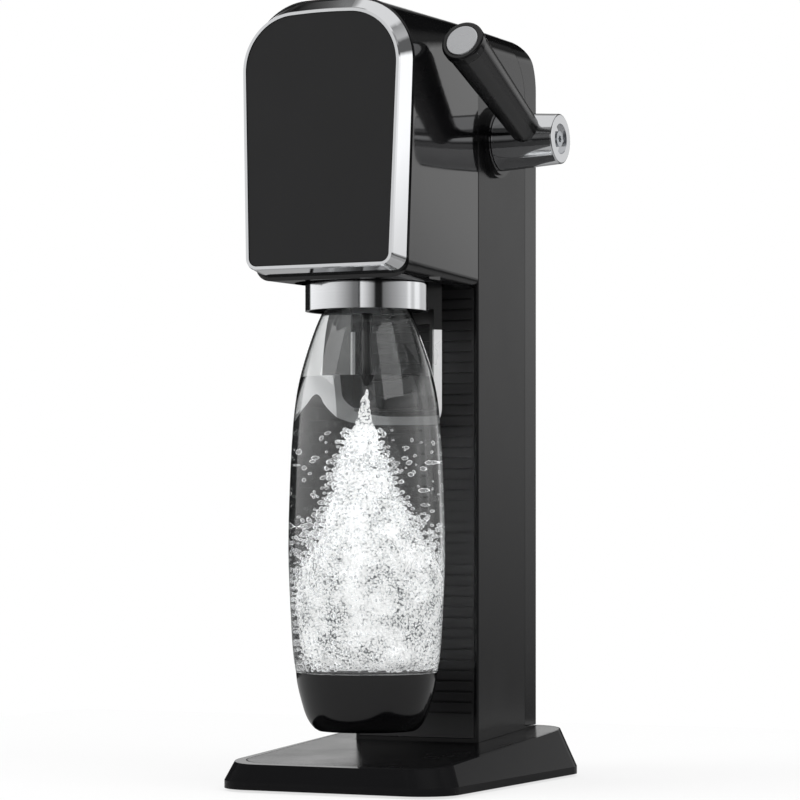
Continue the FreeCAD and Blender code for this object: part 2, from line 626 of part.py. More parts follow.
def make_chassis():
    for side, name in ((-1, "chassis_left"), (1, "chassis_right")):
        x0, x1 = sorted((side * 29.5, side * 31.5))
        plate = box(x0, x1, 24, 78, 331, 392)
        plate = plate.cut(box(x0 - 1, x1 + 1, 74, 80, 384, 400))
        plate = plate.cut(crossbar(x0 - 1, x1 + 1, AXIS_Y, AXIS_Z, 7.0))
        plate = plate.cut(crossbar(x0 - 1, x1 + 1, LOCK_Y, LOCK_Z, LOCK_PIN_R))
        for y, z in CHASSIS_SCREWS:
            plate = plate.cut(crossbar(x0 - 1, x1 + 1, y, z, 1.4))
        save(name, plate)
        flange0, flange1 = sorted((side * 31.5, side * 32.7))
        bush = fuse([crossbar(x0, x1, AXIS_Y, AXIS_Z, 7.0), crossbar(flange0, flange1, AXIS_Y, AXIS_Z, 8.5)])
        bush = bush.cut(crossbar(x0 - 5, x1 + 5, AXIS_Y, AXIS_Z, SHAFT_R + 0.04))
        save(name.replace("chassis", "shaft_bush"), bush)
    save("chassis_brace", box(-29.5, 29.5, 31.2, 33.6, 334, 345))
    screws = []
    for side in (-1, 1):
        for y, z in CHASSIS_SCREWS:
            head0, head1 = sorted((side * 27.9, side * 29.5))
            stem0, stem1 = sorted((side * 29.5, side * 35.5))
            screws.append(fuse([crossbar(head0, head1, y, z, 2.6), crossbar(stem0, stem1, y, z, 1.1)]))
    save("chassis_screws", Part.makeCompound(screws))


def make_lock_handle():
    """Bail that locks the cylinder in the valve block; it lifts about two studs on the chassis."""
    arms = []
    for side in (-1, 1):
        x0, x1 = sorted((side * 32.2, side * 34.4))
        arms.append(box(x0, x1, LOCK_Y, BAIL_REAR - 2, LOCK_Z - 3, LOCK_Z + 3))
        arms.append(crossbar(x0, x1, LOCK_Y, LOCK_Z, 4.5))
    bail = fuse(arms + [box(-34.4, 34.4, BAIL_REAR - 4.5, BAIL_REAR, LOCK_Z - 3.5, LOCK_Z + 3.5)])
    bail = bail.cut(crossbar(-60, 60, LOCK_Y, LOCK_Z, LOCK_PIN_R + 0.05))
    save("lock_handle", bail)
    studs = [crossbar(29.5, 35.2, LOCK_Y, LOCK_Z, LOCK_PIN_R),
             crossbar(-35.2, -29.5, LOCK_Y, LOCK_Z, LOCK_PIN_R)]
    save("lock_studs", Part.makeCompound(studs))


# ---------------------------------------------------------------- lever
def cam_profile():
    """Involute lobe under the shaft: the plunger goes down in proportion to the turn."""
    points = []
    steps = 8
    for step in range(steps + 1):
        turn = -0.12 + (LEVER_RANGE + 0.24) * step / steps
        reach = CAM_REACH + LIFT_PER_RADIAN * turn
        normal = Vec(0, -math.sin(turn), -math.cos(turn))
        tangent = Vec(0, -math.cos(turn), math.sin(turn))
        points.append(Vec(0, AXIS_Y, AXIS_Z) + normal * reach + tangent * LIFT_PER_RADIAN)
    return points


def make_plunger():
    top = AXIS_Z - CAM_REACH
    front_bar = box(-27.5, 27.5, 28.5, 42.0, top - 5.0, top)
    arms = []
    for side in (-1, 1):
        x0, x1 = sorted((side * 22.5, side * 27.5))
        arms.append(box(x0, x1, 28.5, 65.0, top - 5.0, 386.0))
    bridge = box(-27.5, 27.5, 55.0, 65.0, 376.0, 386.0)
    stud = upright(0, CYL_Y, 370.5, 377, 4.0)
    yoke = fuse([front_bar, bridge, stud] + arms)
    slot = fuse([crossbar(-40, 40, AXIS_Y, AXIS_Z, SHAFT_R + 0.6),
                 crossbar(-40, 40, AXIS_Y, AXIS_Z + 3.6, SHAFT_R + 0.6),
                 box(-40, 40, AXIS_Y - SHAFT_R - 0.6, AXIS_Y + SHAFT_R + 0.6, AXIS_Z, AXIS_Z + 3.6)])
    yoke = yoke.cut(slot)
    save("plunger_yoke", yoke)


def cam_solid():
    points = cam_profile()
    curve = Part.BSplineCurve()
    curve.interpolate(points)
    apex = Vec(0, AXIS_Y, AXIS_Z)
    edges = [curve.toShape(), Part.LineSegment(points[-1], apex).toShape(),
             Part.LineSegment(apex, points[0]).toShape()]
    lobe = prism(Part.Wire(edges), Vec(12, 0, 0))
    lobe.translate(Vec(-6, 0, 0))
    return lobe


def make_lever():
    shaft = crossbar(SHAFT_LEFT, SHAFT_RIGHT, AXIS_Y, AXIS_Z, SHAFT_R)
    groove = crossbar(-34.2, -33.2, AXIS_Y, AXIS_Z, 6.0).cut(crossbar(-34.2, -33.2, AXIS_Y, AXIS_Z, 4.2))
    shaft = shaft.cut(groove).cut(crossbar(SHAFT_RIGHT - 16, SHAFT_RIGHT + 1, AXIS_Y, AXIS_Z, 1.6))
    save("lever_shaft", shaft)
    clip = crossbar(-34.1, -33.3, AXIS_Y, AXIS_Z, 7.0).cut(crossbar(-35, -33, AXIS_Y, AXIS_Z, 4.2))
    save("shaft_circlip", clip.cut(box(-36, -32, AXIS_Y - 2, AXIS_Y + 2, AXIS_Z - 9, AXIS_Z)))

    cam = fuse([cam_solid(), crossbar(-9.2, 6, AXIS_Y, AXIS_Z, 7.6)])
    save("lever_cam", cam.cut(crossbar(-10, 10, AXIS_Y, AXIS_Z, SHAFT_R)))

    hub = Part.makeCone(HUB_ROOT_R, HUB_END_R, HUB_END - HUB_START, Vec(HUB_START, AXIS_Y, AXIS_Z),
                        Vec(1, 0, 0))
    rounded = [e for e in hub.Edges if e.BoundBox.XMin > HUB_END - 0.1]
    hub = hub.makeFillet(0.9, rounded)
    hub = hub.cut(crossbar(HUB_START - 1, SHAFT_RIGHT, AXIS_Y, AXIS_Z, SHAFT_R))
    hub = hub.cut(crossbar(HUB_END - 2.2, HUB_END + 1, AXIS_Y, AXIS_Z, 8.6))
    hub = hub.cut(crossbar(SHAFT_RIGHT - 1, HUB_END, AXIS_Y, AXIS_Z, 1.9))
    arm = arm_solid()
    hub = hub.cut(arm.common(crossbar(HUB_START - 5, HUB_END + 5, AXIS_Y, AXIS_Z, 30)))
    save("lever_hub", hub)

    screw = fuse([crossbar(HUB_END - 2.2, HUB_END - 0.6, AXIS_Y, AXIS_Z, 4.4),
                  crossbar(SHAFT_RIGHT - 14, HUB_END - 2.0, AXIS_Y, AXIS_Z, 1.55)])
    drive = [crossbar(HUB_END - 1.7, HUB_END, AXIS_Y, AXIS_Z, 1.5)]
    for index in range(6):
        angle = math.radians(60 * index)
        drive.append(crossbar(HUB_END - 1.7, HUB_END, AXIS_Y + 1.6 * math.cos(angle),
                              AXIS_Z + 1.6 * math.sin(angle), 0.55))
    save("hub_screw", screw.cut(fuse(drive)))
    save("lever_arm", arm)

    base = arm_point(ARM_LENGTH - 6.0)
    direction = arm_direction()
    ring = Part.makeCylinder(ARM_END_R + 0.6, 6.0, base, direction)
    ring = ring.makeFillet(1.4, [e for e in ring.Edges if len(e.Vertexes) == 1])
    pocket = Part.makeCylinder(ARM_CAP_R + 0.2, 2.0, arm_point(ARM_LENGTH - 1.6), direction)
    save("arm_end_ring", ring.cut(pocket))
    cap = Part.makeCylinder(ARM_CAP_R, 1.9, arm_point(ARM_LENGTH - 1.6), direction)
    save("arm_end_cap", cap.makeFillet(0.6, [cap.Edges[0]]))

    ring = crossbar(COLUMN_HALF_W, 43.2, AXIS_Y, AXIS_Z, RING_R)
    step = crossbar(41.4, 44, AXIS_Y, AXIS_Z, 30).cut(crossbar(41, 45, AXIS_Y, AXIS_Z, RING_R - 1.6))
    ring = ring.cut(step).cut(crossbar(30, 60, AXIS_Y, AXIS_Z, SHAFT_R + 0.8))
    spigot = crossbar(COLUMN_HALF_W - 3.5, COLUMN_HALF_W + 0.3, AXIS_Y, AXIS_Z, SHAFT_HOLE_R - GAP)
    ring = fuse([ring, spigot.cut(crossbar(30, 60, AXIS_Y, AXIS_Z, SHAFT_R + 0.8))])
    save("hub_base_ring", ring)


def arm_direction():
    angle = math.radians(ARM_ANGLE)
    return Vec(0, -math.cos(angle), math.sin(angle))


def arm_point(distance):
    return Vec(ARM_X, AXIS_Y, AXIS_Z) + arm_direction() * distance


def arm_solid():
    start = 8.0
    length = ARM_LENGTH - 6.0 - start
    return Part.makeCone(ARM_ROOT_R, ARM_END_R, length, arm_point(start), arm_direction())


def make_return_spring():
    """Torsion spring round the shaft between cam and left bush."""
    turns = 5
    wire_r = 0.9
    pitch = 2.1
    coil_r = 7.2
    helix = Part.makeHelix(pitch, pitch * turns, coil_r)
    along = Vec(0, 1, pitch / (2 * math.pi * coil_r))
    circle = Part.Wire(Part.makeCircle(wire_r, Vec(coil_r, 0, 0), along))
    spring = Part.Wire(helix).makePipeShell([circle], True, True)
    spring.rotate(Vec(0, 0, 0), Vec(0, 1, 0), 90)
    spring.translate(Vec(-20.6, AXIS_Y, AXIS_Z))
    print("spring volume", spring.Volume, "expected",
          math.pi * wire_r ** 2 * turns * math.hypot(pitch, 2 * math.pi * coil_r))
    save("lever_spring", spring)


# ---------------------------------------------------------------- gas hose
HOSE_R = 2.5
HOSE_ROUTE = [(0, 70.5, 378.0), (0, 70.5, 393.0), (0, 58.0, 403.0), (0, 40.0, 405.5), (0, 18.0, 404.0),
              (0, -6.0, 397.0), (0, -27.0, 384.0), (0, -42.0, 365.0), (0, -49.0, 342.0),
              (0, -49.0, 320.0), (0, -49.0, 309.5)]


def make_hose():
    points = [Vec(*p) for p in HOSE_ROUTE]
    edges = []
    previous = points[0]
    for index in range(1, len(points) - 1):
        before = points[index - 1] - points[index]
        after = points[index + 1] - points[index]
        shorter = min(before.Length, after.Length)
        before.normalize()
        after.normalize()
        turn = math.pi - before.getAngle(after)
        if turn < 1e-4:
            continue
        radius = 0.45 * shorter / math.tan(turn / 2)
        reach = radius * math.tan(turn / 2)
        bisector = before + after
        bisector.normalize()
        start = points[index] + before * reach
        end = points[index] + after * reach
        middle = points[index] + bisector * (radius / math.cos(turn / 2) - radius)
        edges.append(Part.LineSegment(previous, start).toShape())
        edges.append(Part.Arc(start, middle, end).toShape())
        previous = end
        print("hose radius", round(radius, 1))
    edges.append(Part.LineSegment(previous, points[-1]).toShape())
    path = Part.Wire(edges)
    circle = Part.Wire(Part.makeCircle(HOSE_R, points[0], points[1] - points[0]))
    hose = path.makePipeShell([circle], True, True)
    print("hose length", round(path.Length, 1), "volume", round(hose.Volume, 1), "expected",
          round(math.pi * HOSE_R ** 2 * path.Length, 1))
    save("gas_hose", hose)
    swivel = fuse([crossbar(-7, 7, BOTTLE_Y, TILT_Z, 6.5), upright(0, BOTTLE_Y, TILT_Z, 309.5, 4.0)])
    save("gas_swivel", swivel.cut(crossbar(-10, 10, BOTTLE_Y, TILT_Z, TILT_PIN_R)))


make_base()
make_tray()
make_column()
make_rear_cover()
make_head_shell()
make_bezel()
make_holder()
make_jaws()
make_nozzle()
make_bottle()
make_cylinder()
make_valve_block()
make_chassis()
make_lock_handle()
make_plunger()
make_lever()
make_return_spring()
make_hose()
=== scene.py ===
import math
import random

import bpy
from mathutils import Matrix, Vector


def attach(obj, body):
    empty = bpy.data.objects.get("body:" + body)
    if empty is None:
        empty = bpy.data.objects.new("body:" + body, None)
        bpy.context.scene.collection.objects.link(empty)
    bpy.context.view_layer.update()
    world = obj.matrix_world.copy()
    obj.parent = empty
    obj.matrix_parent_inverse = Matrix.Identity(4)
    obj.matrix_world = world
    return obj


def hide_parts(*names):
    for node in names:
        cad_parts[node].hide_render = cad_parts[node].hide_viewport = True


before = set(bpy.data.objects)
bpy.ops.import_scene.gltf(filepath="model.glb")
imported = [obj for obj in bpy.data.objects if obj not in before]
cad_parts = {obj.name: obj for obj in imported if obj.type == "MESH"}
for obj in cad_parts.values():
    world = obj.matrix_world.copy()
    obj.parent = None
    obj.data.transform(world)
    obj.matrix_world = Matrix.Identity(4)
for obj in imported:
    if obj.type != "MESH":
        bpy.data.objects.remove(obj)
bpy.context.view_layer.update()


# ---- Studio ------------------------------------------------------------------
# A pale table top under a white sweep. Two big diffusers hang left and right of
# the machine, with black cards beside and between them, so that gloss plastic and
# chrome have something bright and something dark to mirror.


def linear(hex_colour):
    """Linear RGBA of an sRGB colour written as #rrggbb."""
    channels = [int(hex_colour[i:i + 2], 16) / 255 for i in (1, 3, 5)]
    return [c / 12.92 if c <= 0.04045 else ((c + 0.055) / 1.055) ** 2.4 for c in channels] + [1.0]


def add_node(tree, kind, inputs=None, **settings):
    """Adds a node with its settings; inputs maps sockets to values or to other sockets."""
    added = tree.nodes.new(kind)
    for name, value in settings.items():
        setattr(added, name, value)
    for socket, value in (inputs or {}).items():
        if isinstance(value, bpy.types.NodeSocket):
            tree.links.new(value, added.inputs[socket])
        else:
            added.inputs[socket].default_value = value
    return added


def set_ramp(ramp_node, stops):
    """Fills a colour ramp with grey stops, each a (place, level) pair."""
    ramp = ramp_node.color_ramp
    while len(ramp.elements) < len(stops):
        ramp.elements.new(1.0)
    for element, (place, level) in zip(ramp.elements, stops):
        element.position = place
        element.color = (level, level, level, 1.0)


CAMERA_TURN = 25.795            # degrees to the right of straight in front
FACING_CAMERA = math.radians(90 - CAMERA_TURN)

# Grey level of the studio walls all the way round, by degrees from the camera:
# card, diffuser fading forwards, a narrow lit gap between two cards, and the same again.
WALLS = [(-180, 0.69), (-171, 0.69), (-168, 0.01), (-133, 0.01), (-128, 1.0), (-90, 0.85),
         (-62, 0.68), (-24, 0.17), (-15, 0.14), (-14, 0.01), (-12, 0.01), (-11, 0.90),
         (14, 0.20), (16, 0.01), (29, 0.01), (31, 0.16), (58, 0.38), (80, 0.60), (86, 0.92),
         (89, 0.92), (94, 0.62), (99, 0.62), (104, 0.95), (114, 0.95), (122, 0.58), (145, 0.58),
         (150, 0.05), (170, 0.02), (173, 0.69), (180, 0.69)]
# How the same walls fade by height, from straight down at 0 to straight up at 1: dark at
# the level of the table, bright just above it, then a dark gap and a dim band. Over them
# hangs the lit ceiling diffuser.
HEIGHTS = [(0.00, 0.30), (0.40, 0.30), (0.455, 0.04), (0.545, 1.0), (0.62, 1.0), (0.66, 0.10),
           (0.75, 0.10), (0.78, 0.40), (0.84, 0.40)]
CEILING = [(0.85, 0.0), (0.88, 0.62)]
WALL_LIGHT = 1.45               # strength of the walls as gloss and glass see them
SOFT_LIGHT = 0.95               # strength of the even light on everything else

world = bpy.data.worlds.new("studio")
bpy.context.scene.world = world
world.use_nodes = True
tree = world.node_tree
tree.nodes.clear()
direction = add_node(tree, "ShaderNodeTexCoord").outputs["Generated"]
turned = add_node(tree, "ShaderNodeMapping", {"Vector": direction, "Rotation": (0, 0, FACING_CAMERA)})
around = add_node(tree, "ShaderNodeTexGradient", {"Vector": turned.outputs["Vector"]}, gradient_type="RADIAL")
walls = add_node(tree, "ShaderNodeValToRGB", {"Fac": around.outputs["Fac"]})
set_ramp(walls, [(0.5 + degrees / 360, level) for degrees, level in WALLS])
height = add_node(tree, "ShaderNodeSeparateXYZ", {"Vector": direction})
up_from_below = add_node(tree, "ShaderNodeMath", {0: height.outputs["Z"], 1: 0.5, 2: 0.5},
                         operation="MULTIPLY_ADD")
fade = add_node(tree, "ShaderNodeValToRGB", {"Fac": up_from_below.outputs[0]})
set_ramp(fade, HEIGHTS)
ceiling = add_node(tree, "ShaderNodeValToRGB", {"Fac": up_from_below.outputs[0]})
set_ramp(ceiling, CEILING)
lit_walls = add_node(tree, "ShaderNodeMix", {0: 1.0, 6: walls.outputs["Color"], 7: fade.outputs["Color"]},
                     data_type="RGBA", blend_type="MULTIPLY")
room = add_node(tree, "ShaderNodeMix", {0: 1.0, 6: lit_walls.outputs[2], 7: ceiling.outputs["Color"]},
                data_type="RGBA", blend_type="LIGHTEN")
ray = add_node(tree, "ShaderNodeLightPath")
gloss_or_glass = add_node(tree, "ShaderNodeMath", {0: ray.outputs["Is Glossy Ray"],
                                                   1: ray.outputs["Is Transmission Ray"]},
                          operation="MAXIMUM")
direct = add_node(tree, "ShaderNodeMath", {0: ray.outputs["Diffuse Depth"], 1: 0.5}, operation="LESS_THAN")
mirrored = add_node(tree, "ShaderNodeMath", {0: gloss_or_glass.outputs[0], 1: direct.outputs[0]},
                    operation="MULTIPLY")
soft_light = add_node(tree, "ShaderNodeBackground", {"Color": linear("#ffffff"), "Strength": SOFT_LIGHT})
seen_in_gloss = add_node(tree, "ShaderNodeBackground", {"Color": room.outputs[2], "Strength": WALL_LIGHT})
white = add_node(tree, "ShaderNodeBackground", {"Color": linear("#ffffff"), "Strength": 1.0})
reflected = add_node(tree, "ShaderNodeMixShader", {0: mirrored.outputs[0], 1: soft_light.outputs[0],
                                                   2: seen_in_gloss.outputs[0]})
shown = add_node(tree, "ShaderNodeMixShader", {0: ray.outputs["Is Camera Ray"], 1: reflected.outputs[0],
                                               2: white.outputs[0]})
add_node(tree, "ShaderNodeOutputWorld", {"Surface": shown.outputs[0]})

TABLE_SIDE = 1.1                # past its edge the gloss sides mirror the walls, not the table
TABLE_DROP = 0.0002             # keeps the table just clear of the rubber feet
bpy.ops.object.select_all(action="DESELECT")
bpy.ops.mesh.primitive_plane_add(size=TABLE_SIDE, location=(0, 0, -TABLE_DROP))
floor = bpy.context.object
floor.name = "table_top"
bpy.ops.object.transform_apply(location=True, rotation=True, scale=True)
# Matt white paint: it takes soft shadows, glows almost white ahead and is greyer in a mirror.
table_paint = bpy.data.materials.new("table_paint")
table_paint.use_nodes = True
tree = table_paint.node_tree
tree.nodes.clear()
ray = add_node(tree, "ShaderNodeLightPath")
in_gloss = add_node(tree, "ShaderNodeMix", {0: ray.outputs["Is Glossy Ray"], 6: linear("#ececec"),
                                            7: linear("#a8a8a8")}, data_type="RGBA")
painted = add_node(tree, "ShaderNodeBsdfDiffuse", {"Color": in_gloss.outputs[2]})
glow = add_node(tree, "ShaderNodeEmission", {"Color": linear("#ffffff"), "Strength": 1.0})
washed = add_node(tree, "ShaderNodeMath", {0: ray.outputs["Is Camera Ray"], 1: 0.72}, operation="MULTIPLY")
top = add_node(tree, "ShaderNodeMixShader", {0: washed.outputs[0], 1: painted.outputs[0], 2: glow.outputs[0]})
add_node(tree, "ShaderNodeOutputMaterial", {"Surface": top.outputs[0]})
floor.data.materials.append(table_paint)

LAMPS_AIM = Vector((0, 0, 0.2))
for name, place, size, power in [("diffuser_left", (-1.3, -1.1, 1.5), 1.2, 14.0),
                                 ("diffuser_right", (1.5, -0.5, 1.3), 1.2, 10.0)]:
    lamp_data = bpy.data.lights.new(name, "AREA")
    lamp_data.size = size
    lamp_data.energy = power
    lamp = bpy.data.objects.new(name, lamp_data)
    lamp.location = place
    lamp.rotation_euler = (LAMPS_AIM - Vector(place)).to_track_quat("-Z", "Y").to_euler()
    lamp.visible_glossy = False
    bpy.context.scene.collection.objects.link(lamp)

# The camera looks level, with its lens shifted up, so that upright edges stay upright.
camera_data = bpy.data.cameras.new("camera")
camera_data.lens = 143.15
camera_data.sensor_width = 36.0
camera_data.shift_y = 0.1594
camera = bpy.data.objects.new("camera", camera_data)
camera.location = (0.78076, -1.62226, 0.14407)
camera.rotation_euler = (math.radians(90), 0, math.radians(CAMERA_TURN))
bpy.context.scene.collection.objects.link(camera)
bpy.context.scene.camera = camera
bpy.context.scene.view_settings.view_transform = "Standard"


# ---- Base --------------------------------------------------------------------
# One low ABS moulding that slopes out to a thin foot line, polished in the mould.
# A plate screwed up into it from below closes it, and it stands on five rubber pads.


def new_finish(name, hex_colour, **sockets):
    """A new material: its shader with the colour and socket values given, and its node tree."""
    made = bpy.data.materials.new(name)
    made.use_nodes = True
    shader = made.node_tree.nodes["Principled BSDF"]
    shader.inputs["Base Color"].default_value = linear(hex_colour)
    for socket, value in sockets.items():
        shader.inputs[socket.replace("_", " ")].default_value = value
    return made, shader, made.node_tree


def dress(finish, *names):
    """Gives CAD nodes their finish."""
    for name in names:
        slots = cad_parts[name].data.materials
        slots.clear()
        slots.append(finish)


PATCH = 0.035                   # width of the broad patches in which a surface's gloss wanders


def grain(shader, tree, pitch, depth, roughness, softness=0.5):
    """Gives a finish a moulded grain: bumps of this pitch and depth in metres, and a gloss
    that wanders between the two roughness values in broad patches."""
    place = add_node(tree, "ShaderNodeTexCoord").outputs["Object"]
    bumps = add_node(tree, "ShaderNodeTexNoise", {"Vector": place, "Scale": 1 / pitch, "Detail": 2.0,
                                                  "Roughness": softness})
    bump = add_node(tree, "ShaderNodeBump", {"Height": bumps.outputs[0], "Distance": depth, "Strength": 1.0})
    tree.links.new(bump.outputs[0], shader.inputs["Normal"])
    patches = add_node(tree, "ShaderNodeTexNoise", {"Vector": place, "Scale": 1 / PATCH, "Detail": 3.0})
    gloss = add_node(tree, "ShaderNodeMapRange", {0: patches.outputs[0], 1: 0.3, 2: 0.7, 3: roughness[0],
                                                  4: roughness[1]})
    tree.links.new(gloss.outputs[0], shader.inputs["Roughness"])


# Polished black ABS: near-black, mirror gloss, with the faint long waves of a large moulding.
gloss_abs, shader, tree = new_finish("gloss_black_abs", "#0b0b0c", IOR=1.44)
grain(shader, tree, pitch=0.009, depth=0.00001, roughness=(0.05, 0.09))

# The base is of the same ABS, but handled and wiped, so its shine is weaker.
base_abs, shader, tree = new_finish("wiped_black_abs", "#141415", IOR=1.14)
grain(shader, tree, pitch=0.009, depth=0.00001, roughness=(0.08, 0.14))
dress(base_abs, "base_shell")

# Fine-etched black ABS: the mould is acid-etched, so the skin has a soft sheen and no clear mirror.
etched_abs, shader, tree = new_finish("etched_black_abs", "#131314", IOR=1.54)
grain(shader, tree, pitch=0.0006, depth=0.00002, roughness=(0.36, 0.42))
dress(etched_abs, "bottom_plate")

# Zinc-plated steel: bright blue-grey plate, slightly mottled.
plated_steel, shader, tree = new_finish("zinc_plated_steel", "#b9bcc0", Metallic=1.0)
grain(shader, tree, pitch=0.002, depth=0.00001, roughness=(0.22, 0.36))
dress(plated_steel, "base_screws")

# Moulded rubber: dull, dusty black that takes no highlight.
moulded_rubber, shader, tree = new_finish("moulded_rubber", "#161616", IOR=1.52)
grain(shader, tree, pitch=0.0008, depth=0.00004, roughness=(0.75, 0.9))
dress(moulded_rubber, "rubber_feet")


# ---- Drip tray ---------------------------------------------------------------
# A lift-out ABS plate that lies in the top of the base with a raised edge. Its top
# is spark-textured so that it hides drops, and reads greyer than the base.

# Spark-textured ABS: an eroded mould leaves a fine pebble that breaks highlights into a sheen.
spark_abs, shader, tree = new_finish("spark_textured_abs", "#060607", IOR=1.42)
grain(shader, tree, pitch=0.0009, depth=0.00003, roughness=(0.22, 0.28), softness=0.65)
dress(spark_abs, "drip_tray")


# ---- Column ------------------------------------------------------------------
# A tall shell of satin ABS with a ribbed front strip slid into it. The gloss rear
# cover behind the seam hangs on a foot tongue and comes off to change the cylinder.

# Satin ABS: a lightly blasted mould, so it mirrors the room softly and with blurred edges.
satin_abs, shader, tree = new_finish("satin_black_abs", "#0b0b0c", IOR=1.35)
grain(shader, tree, pitch=0.0011, depth=0.000008, roughness=(0.20, 0.26))
dress(satin_abs, "column_shell")

# Etched strip: the same ABS with a duller etch, so it reads a little greyer than the shell.
strip_abs, shader, tree = new_finish("etched_strip_abs", "#1b1b1c", IOR=1.54)
grain(shader, tree, pitch=0.0006, depth=0.00001, roughness=(0.34, 0.40))
dress(strip_abs, "ribbed_panel")
dress(gloss_abs, "rear_cover")


# ---- Head --------------------------------------------------------------------
# A polished hood that grows forward out of the column, with a wide chromed frame
# snapped round its mouth. A satin panel on a carrier fills the frame, left bare.

dress(gloss_abs, "head_shell")
dress(etched_abs, "panel_carrier")

# Chromed ABS: plated and polished, so it is an almost perfect mirror.
chromed_abs, shader, tree = new_finish("chromed_abs", "#dcdddf", Metallic=1.0)
grain(shader, tree, pitch=0.012, depth=0.000006, roughness=(0.03, 0.06))
dress(chromed_abs, "head_bezel")

# Satin panel: a sprayed soft-touch coat, dark grey and even, with no picture in it.
soft_coat, shader, tree = new_finish("soft_touch_coat", "#1b1b1c", IOR=1.45)
grain(shader, tree, pitch=0.0005, depth=0.00001, roughness=(0.48, 0.54))
dress(soft_coat, "front_panel")


# ---- Bottle holder -----------------------------------------------------------
# The holder hangs on a steel pin under the head and tilts forward to take the
# bottle. Its skirt is wrapped in a polished steel band, and a backrest drops behind
# the bottle's neck. The gas nozzle and the grey mouth seal sit in its centre.

dress(etched_abs, "bottle_holder")

# Polished stainless band: fine lathe lines run round it and stretch what it mirrors. They
# are drawn 0.4 mm apart, coarser than real ones, so that they show.
steel_band, shader, tree = new_finish("polished_steel_band", "#d3d4d6", Metallic=1.0, Roughness=0.09)
place = add_node(tree, "ShaderNodeTexCoord").outputs["Object"]
lathe_lines = add_node(tree, "ShaderNodeMapping", {"Vector": place,
                                                   "Scale": (1 / 0.05, 1 / 0.05, 1 / 0.0004)})
lines = add_node(tree, "ShaderNodeTexNoise", {"Vector": lathe_lines.outputs[0], "Scale": 1.0, "Detail": 1.0})
bump = add_node(tree, "ShaderNodeBump", {"Height": lines.outputs[0], "Distance": 0.000006, "Strength": 1.0})
tree.links.new(bump.outputs[0], shader.inputs["Normal"])
dress(steel_band, "collar_ring")
dress(etched_abs, "backrest")

# Pale band: the real band is chrome that mirrors the white room; this pale, part-matt, part-metal colour is a
# painted reflection of it.
pale_trim_painted_reflection, shader, tree = new_finish("pale_trim_painted_reflection", "#f0f0f1", Metallic=0.4)
grain(shader, tree, pitch=0.0012, depth=0.00001, roughness=(0.26, 0.32))
dress(pale_trim_painted_reflection, "backrest_trim")

# Glass-filled nylon: dense grey plastic with a faint fibre swirl.
filled_nylon, shader, tree = new_finish("glass_filled_nylon", "#6d6e70", IOR=1.53)
grain(shader, tree, pitch=0.0015, depth=0.00002, roughness=(0.35, 0.5))
dress(filled_nylon, "jaw_left", "jaw_right", "nozzle_body")

# Dark acetal: dense and waxy black, with a narrow streak of light down the tube.
dark_acetal, shader, tree = new_finish("dark_acetal", "#101112", IOR=1.48)
grain(shader, tree, pitch=0.002, depth=0.000008, roughness=(0.12, 0.2))
dress(dark_acetal, "nozzle_tube", "nozzle_tip")
dress(plated_steel, "tilt_pin")

# Silicone rubber: soft mid grey with a dull bloom and no sharp highlight.
silicone, shader, tree = new_finish("silicone_rubber", "#7d7e80", IOR=1.41)
grain(shader, tree, pitch=0.001, depth=0.00002, roughness=(0.45, 0.6))
dress(silicone, "mouth_seal")


# ---- Bottle ------------------------------------------------------------------
# A blown clear polyester bottle with a thick wall, turned here as one smooth skin.
# A black cup with a rounded bottom is pressed over its foot.

BOTTLE_Y = -0.049
TO_THE_RIGHT = Vector((0.900, 0.435))       # across the machine, square to the main view


def turn_up(name, rings):
    """A closed body of round sections, drawn up from the first ring by extrusion. Each ring
    is (height, radius, shift towards the right), in metres, about the bottle's axis."""
    bpy.ops.object.select_all(action="DESELECT")
    z, radius, shift = rings[0]
    centre = Vector((shift * TO_THE_RIGHT.x, BOTTLE_Y + shift * TO_THE_RIGHT.y, z))
    bpy.ops.mesh.primitive_circle_add(vertices=96, radius=radius, fill_type="NGON", location=centre)
    body = bpy.context.object
    body.name = name
    bpy.ops.object.transform_apply(location=True, rotation=True, scale=True)
    bpy.ops.object.mode_set(mode="EDIT")
    bpy.ops.mesh.select_all(action="SELECT")
    for z, next_radius, shift in rings[1:]:
        next_centre = Vector((shift * TO_THE_RIGHT.x, BOTTLE_Y + shift * TO_THE_RIGHT.y, z))
        bpy.ops.mesh.extrude_region_move(TRANSFORM_OT_translate={"value": next_centre - centre})
        size = next_radius / radius
        bpy.ops.transform.resize(value=(size, size, 1), center_override=next_centre)
        centre, radius = next_centre, next_radius
    bpy.ops.mesh.select_all(action="SELECT")
    bpy.ops.mesh.normals_make_consistent(inside=False)
    bpy.ops.object.mode_set(mode="OBJECT")
    bpy.ops.object.shade_smooth()
    return body


def smooth_side(points, steps):
    """Rings of an unshifted side that runs smoothly through these (height, radius) points."""
    ends = [points[0]] + points + [points[-1]]
    rings = []
    for before, start, end, after in zip(ends, ends[1:], ends[2:], ends[3:]):
        for step in range(steps):
            t = step / steps
            ring = [b + 0.5 * t * (c - a + t * (2 * a - 5 * b + 4 * c - d + t * (3 * (b - c) + d - a)))
                    for a, b, c, d in zip(before, start, end, after)]
            rings.append((ring[0], ring[1], 0))
    return rings + [(points[-1][0], points[-1][1], 0)]


WALL = 0.0009
